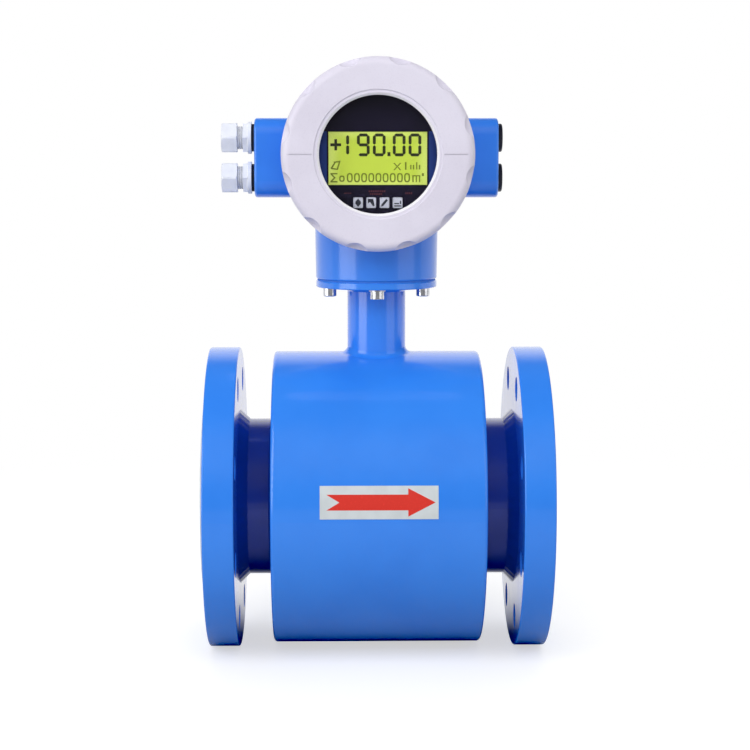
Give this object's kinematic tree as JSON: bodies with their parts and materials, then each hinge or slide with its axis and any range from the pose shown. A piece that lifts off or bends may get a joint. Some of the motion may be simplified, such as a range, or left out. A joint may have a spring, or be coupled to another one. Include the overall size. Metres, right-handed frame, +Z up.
{
  "type": "electromagnetic flow meter",
  "caption": "Flanged full-bore electromagnetic flow meter: round coil housing between two pipe flanges, with a round-faced display transmitter on a short stem.",
  "frame": {"origin": "centre of the inlet sealing face, on the pipe axis", "axes": "+X is the flow direction, +Z is up along the stem, and the display faces -Y"},
  "size_m": [0.25, 0.22, 0.4285],
  "materials": {
    "azure_steel": "smooth semi-gloss paint",
    "navy_steel": "smooth dark paint",
    "azure_casting": "semi-gloss powder coat",
    "cover_casting": "light grey powder coat",
    "liner_ptfe": "smooth",
    "soft_iron": "rolled",
    "stainless": "turned",
    "plated_steel": "bright zinc",
    "copper_winding": "enamelled wire",
    "bobbin_nylon": "moulded",
    "insulator_peek": "moulded",
    "black_rubber": "matt",
    "cable_jacket": "matt",
    "label_film": "printed film",
    "clear_glass": "polished",
    "fascia_film": "printed film",
    "lcd": "lit display",
    "key_plastic": "moulded",
    "circuit_board": "solder resist",
    "terminal_plastic": "moulded",
    "nickel_brass": "nickel plated",
    "gland_nylon": "moulded",
    "plug_nylon": "moulded"
  },
  "bodies": {
    "meter": {"inlet_flange": "azure_steel", "outlet_flange": "azure_steel", "measuring_tube": "navy_steel", "liner": "liner_ptfe", "coil_housing_shell": "azure_steel", "inlet_end_plate": "azure_steel", "outlet_end_plate": "azure_steel", "upper_pole_shoe": "soft_iron", "lower_pole_shoe": "soft_iron", "upper_bobbin": "bobbin_nylon", "lower_bobbin": "bobbin_nylon", "upper_coil": "copper_winding", "lower_coil": "copper_winding", "magnetic_yoke": "soft_iron", "front_electrode": "stainless", "rear_electrode": "stainless", "front_electrode_insulator": "insulator_peek", "rear_electrode_insulator": "insulator_peek", "electrode_nuts": "plated_steel", "sensor_harness": "cable_jacket", "flow_arrow_label": "label_film", "stem_tube": "azure_steel", "stem_top_plate": "azure_steel", "plate_gasket": "black_rubber", "head_screws": "plated_steel", "head_screw_washers": "plated_steel", "transmitter_housing": "azure_casting", "display_fascia": "fascia_film", "fascia_screws": "plated_steel", "lcd_panel": "lcd", "display_board": "circuit_board", "fascia_standoffs": "nickel_brass", "display_standoffs": "nickel_brass", "main_board": "circuit_board", "terminal_board": "circuit_board", "terminal_block": "terminal_plastic", "terminal_screws": "plated_steel", "terminal_board_screws": "plated_steel", "gland_washers": "black_rubber", "upper_gland_body": "gland_nylon", "lower_gland_body": "gland_nylon"},
    "front_cover_seal": {"front_cover_o_ring": "black_rubber"},
    "front_cover_assembly": {"front_cover": "cover_casting", "window_glass": "clear_glass", "window_gasket": "black_rubber", "window_retaining_ring": "stainless"},
    "rear_cover_seal": {"rear_cover_o_ring": "black_rubber"},
    "rear_cover_assembly": {"rear_cover": "cover_casting"},
    "upper_gland_seal_body": {"upper_gland_seal": "black_rubber"},
    "upper_gland_nut_body": {"upper_gland_nut": "gland_nylon"},
    "upper_plug_seal_body": {"upper_plug_seal": "black_rubber"},
    "upper_blanking_plug_body": {"upper_blanking_plug": "plug_nylon"},
    "lower_gland_seal_body": {"lower_gland_seal": "black_rubber"},
    "lower_gland_nut_body": {"lower_gland_nut": "gland_nylon"},
    "lower_plug_seal_body": {"lower_plug_seal": "black_rubber"},
    "lower_blanking_plug_body": {"lower_blanking_plug": "plug_nylon"},
    "key_1": {"display_key_1": "key_plastic"},
    "key_2": {"display_key_2": "key_plastic"},
    "key_3": {"display_key_3": "key_plastic"},
    "key_4": {"display_key_4": "key_plastic"}
  },
  "joints": [
    {"name": "front_cover_travel", "type": "slide", "parent": "meter", "child": "front_cover_seal", "axis": [0, -1, 0], "range_m": [0, 0.0081]},
    {"name": "front_cover_turn", "type": "hinge", "parent": "front_cover_seal", "child": "front_cover_assembly", "pos_m": [0.125, -0.046, 0.251], "axis": [0, -1, 0], "range_deg": [0, 1440]},
    {"name": "rear_cover_travel", "type": "slide", "parent": "meter", "child": "rear_cover_seal", "axis": [0, 1, 0], "range_m": [0, 0.0081]},
    {"name": "rear_cover_turn", "type": "hinge", "parent": "rear_cover_seal", "child": "rear_cover_assembly", "pos_m": [0.125, 0.046, 0.251], "axis": [0, 1, 0], "range_deg": [0, 1440]},
    {"name": "upper_gland_nut_travel", "type": "slide", "parent": "meter", "child": "upper_gland_seal_body", "axis": [-1, 0, 0], "range_m": [0, 0.0046]},
    {"name": "upper_gland_nut_turn", "type": "hinge", "parent": "upper_gland_seal_body", "child": "upper_gland_nut_body", "pos_m": [0.0365, 0.01, 0.263], "axis": [-1, 0, 0], "range_deg": [0, 1080]},
    {"name": "upper_blanking_plug_travel", "type": "slide", "parent": "meter", "child": "upper_plug_seal_body", "axis": [1, 0, 0], "range_m": [0, 0.0061]},
    {"name": "upper_blanking_plug_turn", "type": "hinge", "parent": "upper_plug_seal_body", "child": "upper_blanking_plug_body", "pos_m": [0.2135, 0.01, 0.263], "axis": [1, 0, 0], "range_deg": [0, 1440]},
    {"name": "lower_gland_nut_travel", "type": "slide", "parent": "meter", "child": "lower_gland_seal_body", "axis": [-1, 0, 0], "range_m": [0, 0.0046]},
    {"name": "lower_gland_nut_turn", "type": "hinge", "parent": "lower_gland_seal_body", "child": "lower_gland_nut_body", "pos_m": [0.0365, 0.01, 0.234], "axis": [-1, 0, 0], "range_deg": [0, 1080]},
    {"name": "lower_blanking_plug_travel", "type": "slide", "parent": "meter", "child": "lower_plug_seal_body", "axis": [1, 0, 0], "range_m": [0, 0.0061]},
    {"name": "lower_blanking_plug_turn", "type": "hinge", "parent": "lower_plug_seal_body", "child": "lower_blanking_plug_body", "pos_m": [0.2135, 0.01, 0.234], "axis": [1, 0, 0], "range_deg": [0, 1440]},
    {"name": "key_1_press", "type": "slide", "parent": "meter", "child": "key_1", "axis": [0, 1, 0], "range_m": [0, 0.0004], "stiffness_N_per_m": 4000},
    {"name": "key_2_press", "type": "slide", "parent": "meter", "child": "key_2", "axis": [0, 1, 0], "range_m": [0, 0.0004], "stiffness_N_per_m": 4000},
    {"name": "key_3_press", "type": "slide", "parent": "meter", "child": "key_3", "axis": [0, 1, 0], "range_m": [0, 0.0004], "stiffness_N_per_m": 4000},
    {"name": "key_4_press", "type": "slide", "parent": "meter", "child": "key_4", "axis": [0, 1, 0], "range_m": [0, 0.0004], "stiffness_N_per_m": 4000}
  ],
  "couplings": [
    {"joint": "front_cover_travel", "follows": "front_cover_turn", "m_per_rad": 0.00031831},
    {"joint": "rear_cover_travel", "follows": "rear_cover_turn", "m_per_rad": 0.00031831},
    {"joint": "upper_gland_nut_travel", "follows": "upper_gland_nut_turn", "m_per_rad": 0.00023873},
    {"joint": "upper_blanking_plug_travel", "follows": "upper_blanking_plug_turn", "m_per_rad": 0.00023873},
    {"joint": "lower_gland_nut_travel", "follows": "lower_gland_nut_turn", "m_per_rad": 0.00023873},
    {"joint": "lower_blanking_plug_travel", "follows": "lower_blanking_plug_turn", "m_per_rad": 0.00023873}
  ]
}
